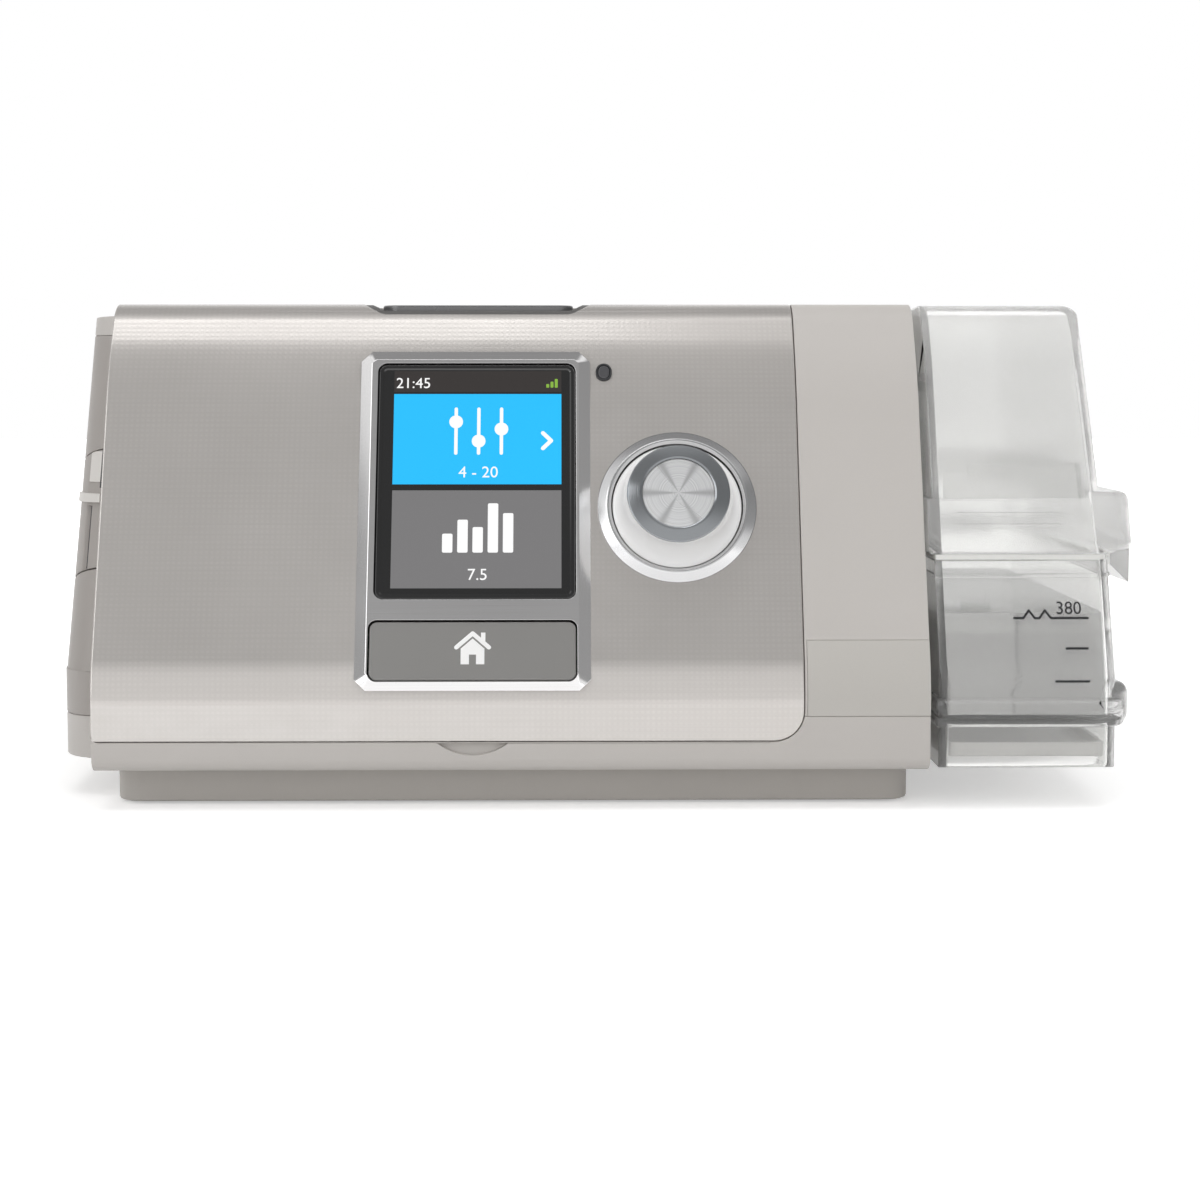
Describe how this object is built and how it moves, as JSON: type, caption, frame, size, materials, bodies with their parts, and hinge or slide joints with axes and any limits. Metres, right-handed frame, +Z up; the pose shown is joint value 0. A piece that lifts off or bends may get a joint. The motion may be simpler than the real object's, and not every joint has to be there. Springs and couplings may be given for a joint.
{
  "type": "bedside breathing machine",
  "caption": "Bedside bilevel breathing machine with a leaning face, colour screen, turn-and-push dial, two buttons, side doors and a slide-in clear water tub.",
  "frame": {"origin": "middle of the footprint, on the surface that the machine stands on", "axes": "+X towards the water tub, +Y towards the rear wall with the air port, +Z up"},
  "size_m": [0.255, 0.15, 0.1158],
  "materials": {
    "plinth": "satin",
    "shell": "satin",
    "end": "satin",
    "fascia": "satin",
    "plate": "satin",
    "frame": "polished",
    "window": "gloss",
    "display": "satin",
    "board": "satin",
    "button": "satin",
    "key": "satin",
    "switch": "satin",
    "chrome": "polished",
    "knob": "metallic",
    "disc": "spun",
    "steel": "satin",
    "plunger": "satin",
    "black_plastic": "satin",
    "blower": "satin",
    "soft_mount": "matte",
    "copper": "satin",
    "magnet": "satin",
    "impeller": "satin",
    "foam": "matte",
    "filter": "matte",
    "vent": "satin",
    "sensor": "satin",
    "port": "satin",
    "bay": "satin",
    "seal": "matte",
    "hot_plate": "satin",
    "clear": "clear",
    "gasket": "matte",
    "feet": "matte"
  },
  "bodies": {
    "case": {"base_plinth": "plinth", "lower_housing": "shell", "upper_housing": "shell", "rear_housing": "shell", "side_panel": "end", "fascia": "fascia", "label_plate": "plate", "screen_frame": "frame", "screen_lens": "window", "lcd_module": "display", "display_board": "board", "light_sensor": "window", "home_switch": "switch", "start_switch": "switch", "button_board": "board", "dial_ring": "chrome", "encoder_body": "switch", "main_board": "board", "power_inlet": "black_plastic", "blower_lower": "blower", "blower_upper": "blower", "blower_mounts": "soft_mount", "motor_can": "steel", "motor_stator": "copper", "motor_bearings": "steel", "inlet_muffler": "foam", "air_filter": "filter", "flow_sensor": "sensor", "blower_duct": "blower", "outlet_elbow": "port", "tub_bay": "bay", "bay_seals": "seal", "heater_plate": "hot_plate", "card_reader": "black_plastic", "adapter_port": "black_plastic", "rubber_feet": "feet", "case_screws": "steel"},
    "home_button": {"home_button": "button"},
    "start_button": {"start_button": "key"},
    "dial_plunger": {"encoder_plunger": "plunger"},
    "dial": {"encoder_shaft": "steel", "dial_knob": "knob", "dial_crown": "chrome", "dial_disc": "disc"},
    "plug_clip": {"plug_clip": "black_plastic"},
    "filter_door": {"filter_door": "vent"},
    "card_door": {"card_door": "end"},
    "adapter_door": {"adapter_door": "end"},
    "rotor": {"motor_shaft": "steel", "rotor_magnet": "magnet", "impeller": "impeller"},
    "tub": {"tub_base": "clear", "tub_lid": "clear", "tub_seal": "gasket", "tub_heat_plate": "hot_plate", "tub_hinge_pin": "steel"}
  },
  "joints": [
    {"name": "home_push", "type": "slide", "parent": "case", "child": "home_button", "axis": [0, 0.9239, -0.3827], "range_m": [0, 0.0006], "stiffness_N_per_m": 800},
    {"name": "start_push", "type": "slide", "parent": "case", "child": "start_button", "axis": [0, 0, -1], "range_m": [0, 0.0008], "stiffness_N_per_m": 800},
    {"name": "dial_push", "type": "slide", "parent": "case", "child": "dial_plunger", "axis": [0, 0.9239, -0.3827], "range_m": [0, 0.0008], "stiffness_N_per_m": 900},
    {"name": "dial_turn", "type": "hinge", "parent": "dial_plunger", "child": "dial", "pos_m": [0.0212, -0.05734, 0.0684], "axis": [0, -0.9239, 0.3827], "continuous": true},
    {"name": "card_door_hinge", "type": "hinge", "parent": "case", "child": "card_door", "pos_m": [-0.12202, -0.01303, 0.0577], "axis": [-0.0227, -0.3826, -0.9237], "range_deg": [0, 80]},
    {"name": "adapter_door_hinge", "type": "hinge", "parent": "case", "child": "adapter_door", "pos_m": [-0.1241, 0.04463, 0.04544], "axis": [-0.0227, -0.3826, -0.9237], "range_deg": [0, 85]},
    {"name": "filter_door_hinge", "type": "hinge", "parent": "case", "child": "filter_door", "pos_m": [-0.064, 0.0736, 0.072], "axis": [0, 0, -1], "range_deg": [0, 85]},
    {"name": "plug_clip_hinge", "type": "hinge", "parent": "case", "child": "plug_clip", "pos_m": [-0.055, 0.07, 0.036], "axis": [1, 0, 0], "range_deg": [0, 90]},
    {"name": "rotor_spin", "type": "hinge", "parent": "case", "child": "rotor", "pos_m": [-0.07, 0.009, 0.06], "axis": [0, 0, 1], "continuous": true},
    {"name": "tub_slide", "type": "slide", "parent": "case", "child": "tub", "axis": [1, 0, 0], "range_m": [0, 0.085]}
  ]
}
